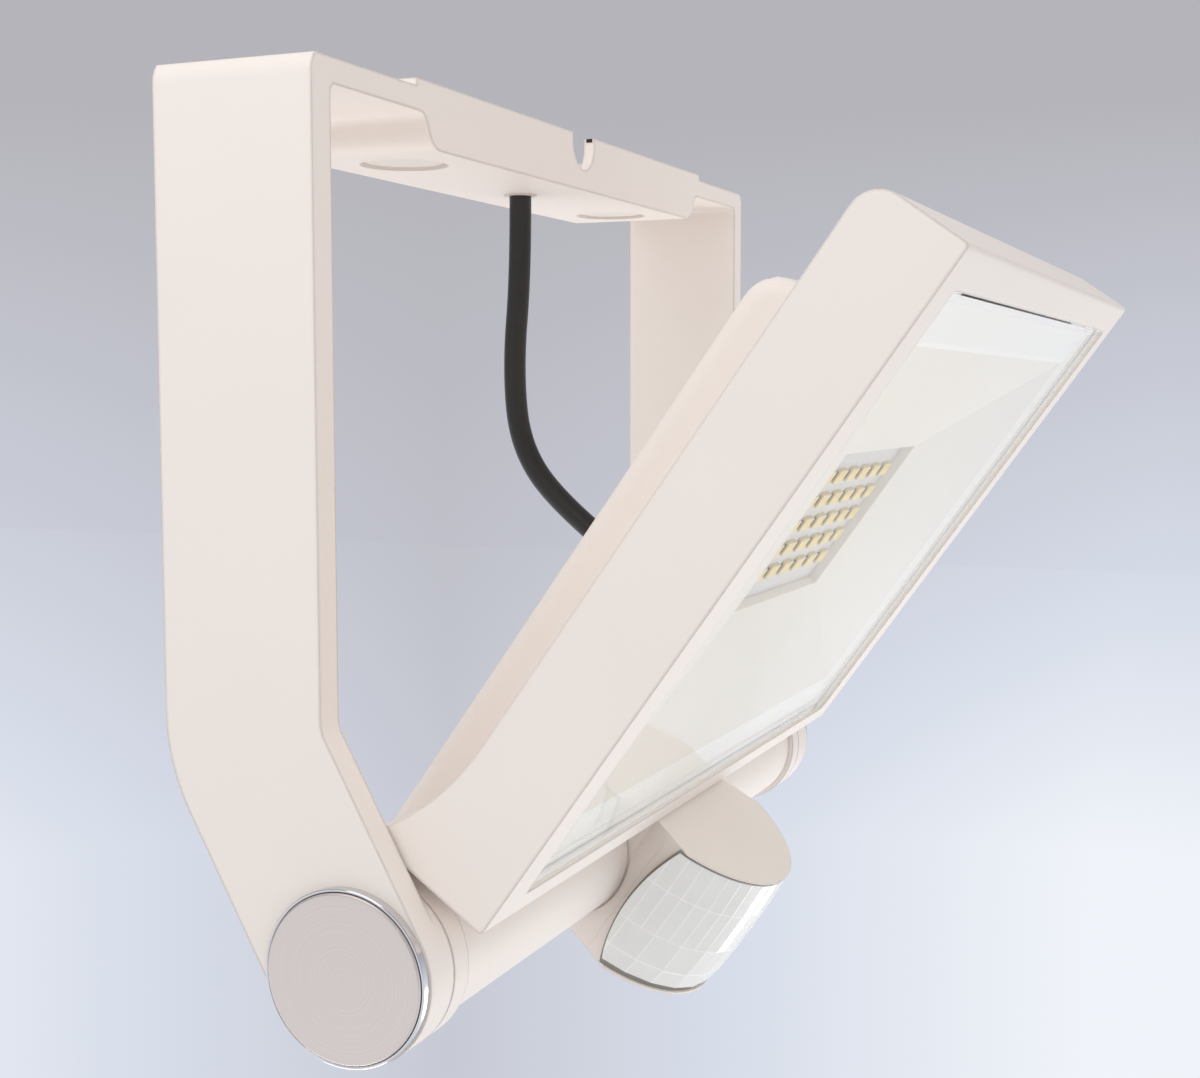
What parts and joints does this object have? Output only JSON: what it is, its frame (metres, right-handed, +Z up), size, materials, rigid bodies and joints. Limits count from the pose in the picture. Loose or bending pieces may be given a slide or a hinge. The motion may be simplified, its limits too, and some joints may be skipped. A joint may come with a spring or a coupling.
{
  "type": "motion sensor floodlight",
  "caption": "Ceiling floodlight: a flat LED panel tilts on a U-shaped bracket, with a drum-shaped motion sensor on its hinge tube.",
  "frame": {"origin": "middle of the bracket's face against the ceiling, between its two screw holes", "axes": "+Z points up into the ceiling, X runs along the hinge, and -Y is the side that the lamp leans and shines to"},
  "size_m": [0.2182, 0.1314, 0.1821],
  "materials": {
    "coated_metal": "off-white powder coat, satin",
    "white_plastic": "off-white, satin",
    "grey_plastic": "warm grey, satin",
    "satin_metal": "satin nickel, brushed",
    "dark_plastic": "black",
    "reflector_plastic": "white, half gloss",
    "lens_plastic": "milky white, faceted",
    "board": "green lacquer",
    "light_board": "white lacquer",
    "yellow_chip": "yellow phosphor",
    "clear_glass": "clear, flat",
    "chrome": "polished",
    "steel": "zinc plated",
    "brass": "plain",
    "dark_rubber": "black, matt",
    "white_rubber": "pale silicone"
  },
  "bodies": {
    "bracket": {"mounting_bracket": "coated_metal", "ceiling_gasket": "dark_rubber", "terminal_block": "white_plastic", "terminal_screws": "brass", "cord_clamp": "white_plastic", "clamp_screws": "steel", "cable_grommet": "white_rubber", "cable": "dark_rubber", "hinge_bush_left": "white_plastic", "hinge_bush_right": "white_plastic", "friction_washer_left": "steel", "friction_washer_right": "steel", "cap_ring_left": "chrome", "cap_ring_right": "chrome", "hub_cap_left": "satin_metal", "hub_cap_right": "satin_metal"},
    "lamp": {"lamp_housing": "coated_metal", "driver_housing": "white_plastic", "housing_screws": "steel", "driver_board": "board", "driver_parts": "dark_plastic", "reflector": "reflector_plastic", "glass_gasket": "white_rubber", "front_glass": "clear_glass", "heat_pad": "dark_rubber", "led_board": "light_board", "leds": "yellow_chip", "hinge_tube_left": "coated_metal", "hinge_tube_right": "coated_metal", "sensor_axle": "steel", "hinge_screw_left": "steel", "hinge_screw_right": "steel", "cable_gland": "white_plastic"},
    "sensor": {"sensor_body": "white_plastic", "sensor_lens": "lens_plastic", "lens_seal": "dark_rubber", "sensor_base": "white_plastic", "sensor_screws": "steel", "sensor_board": "board", "pir_detector": "steel"},
    "time_dial": {"time_dial": "grey_plastic"},
    "twilight_dial": {"twilight_dial": "grey_plastic"}
  },
  "joints": [
    {"name": "lamp_tilt", "type": "hinge", "parent": "bracket", "child": "lamp", "pos_m": [0, -0.01981, -0.14869], "axis": [1, 0, 0], "range_deg": [-18, 55], "deforming": ["cable"]},
    {"name": "sensor_swivel", "type": "hinge", "parent": "lamp", "child": "sensor", "pos_m": [0, -0.01981, -0.14869], "axis": [1, 0, 0], "range_deg": [0, 45]},
    {"name": "time_dial_turn", "type": "hinge", "parent": "sensor", "child": "time_dial", "pos_m": [-0.007, -0.03412, -0.17604], "axis": [0, -0.5793, 0.8151], "range_deg": [-135, 135]},
    {"name": "twilight_dial_turn", "type": "hinge", "parent": "sensor", "child": "twilight_dial", "pos_m": [0.007, -0.03412, -0.17604], "axis": [0, -0.5793, 0.8151], "range_deg": [-135, 135]}
  ]
}
